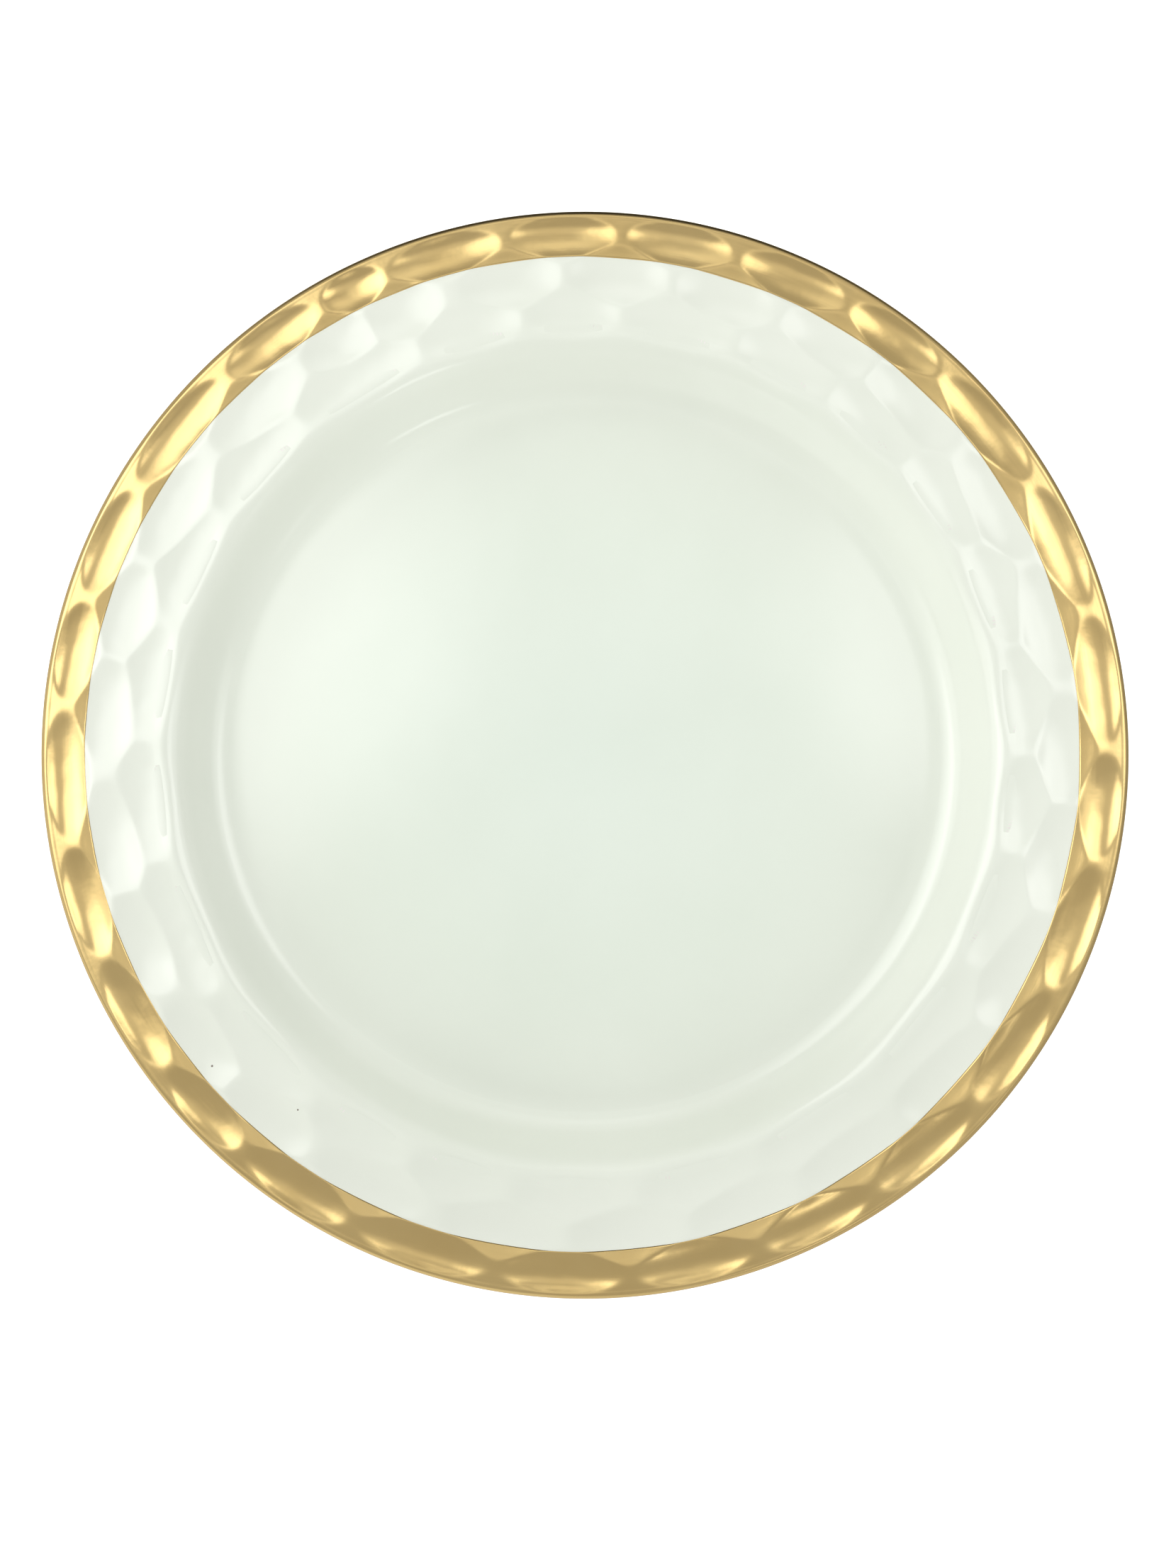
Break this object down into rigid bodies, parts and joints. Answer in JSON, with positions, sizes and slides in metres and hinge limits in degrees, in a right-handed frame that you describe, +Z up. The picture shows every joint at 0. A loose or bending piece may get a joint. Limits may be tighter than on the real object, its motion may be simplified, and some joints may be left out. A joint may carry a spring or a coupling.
{
  "type": "china dinner plate",
  "caption": "Round white china dinner plate with a shallow well, a foot ring, a rim cut with three staggered rows of shallow scoops, and a satin gold band on the rim and lip.",
  "frame": {"origin": "centre of the plane the foot ring stands on", "axes": "+Z up out of the well along the plate's axis; +X across the plate, in the direction where one outer scoop meets the next"},
  "size_m": [0.28, 0.28, 0.022],
  "materials": {
    "bisque": "matte",
    "glaze": "polished",
    "gold": "satin"
  },
  "bodies": {
    "root": {"porcelain_body": "bisque", "face_glaze": "glaze", "back_glaze": "glaze", "foot_well_glaze": "glaze", "gold_rim_band": "gold"}
  },
  "joints": []
}
